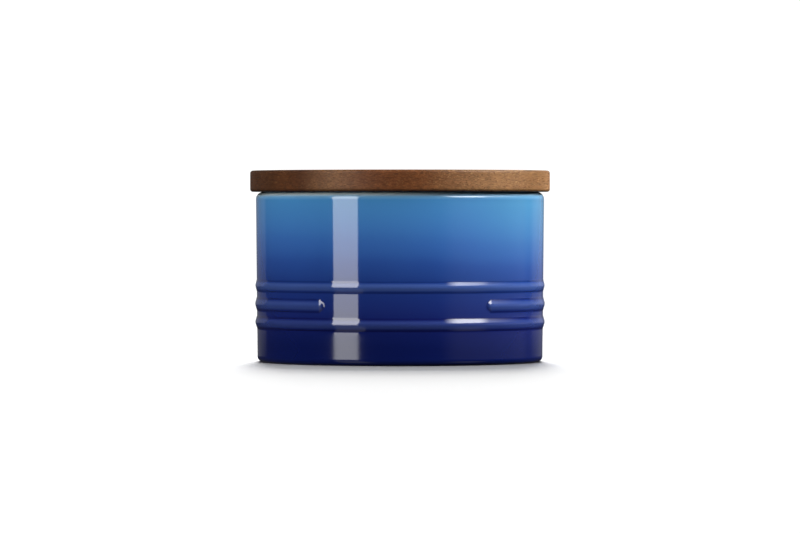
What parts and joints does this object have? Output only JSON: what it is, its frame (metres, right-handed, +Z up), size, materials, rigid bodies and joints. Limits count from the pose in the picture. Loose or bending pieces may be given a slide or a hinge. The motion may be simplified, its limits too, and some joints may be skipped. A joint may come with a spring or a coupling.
{
  "type": "storage canister",
  "caption": "Low round stoneware canister with raised ridges, a plain front field and a loose wooden lid that plugs the mouth through a lipped silicone ring.",
  "frame": {"origin": "middle of the base, in the plane of the foot ring that stands on the table", "axes": "+Z up along the axis of the pot; the plain field in the middle ridge faces -Y"},
  "size_m": [0.12, 0.12, 0.0765],
  "materials": {
    "blue_glaze": "gloss",
    "oiled_wood": "satin",
    "silicone": "satin"
  },
  "bodies": {
    "pot": {"stoneware_pot": "blue_glaze"},
    "gasket": {"lid_gasket": "silicone"},
    "lid": {"lid_disc": "oiled_wood", "lid_plug": "oiled_wood"}
  },
  "joints": [
    {"name": "lid_lift", "type": "slide", "parent": "pot", "child": "gasket", "axis": [0, 0, 1], "range_m": [0, 0.08]},
    {"name": "lid_turn", "type": "hinge", "parent": "gasket", "child": "lid", "pos_m": [0, 0, 0.068], "axis": [0, 0, 1], "continuous": true}
  ]
}
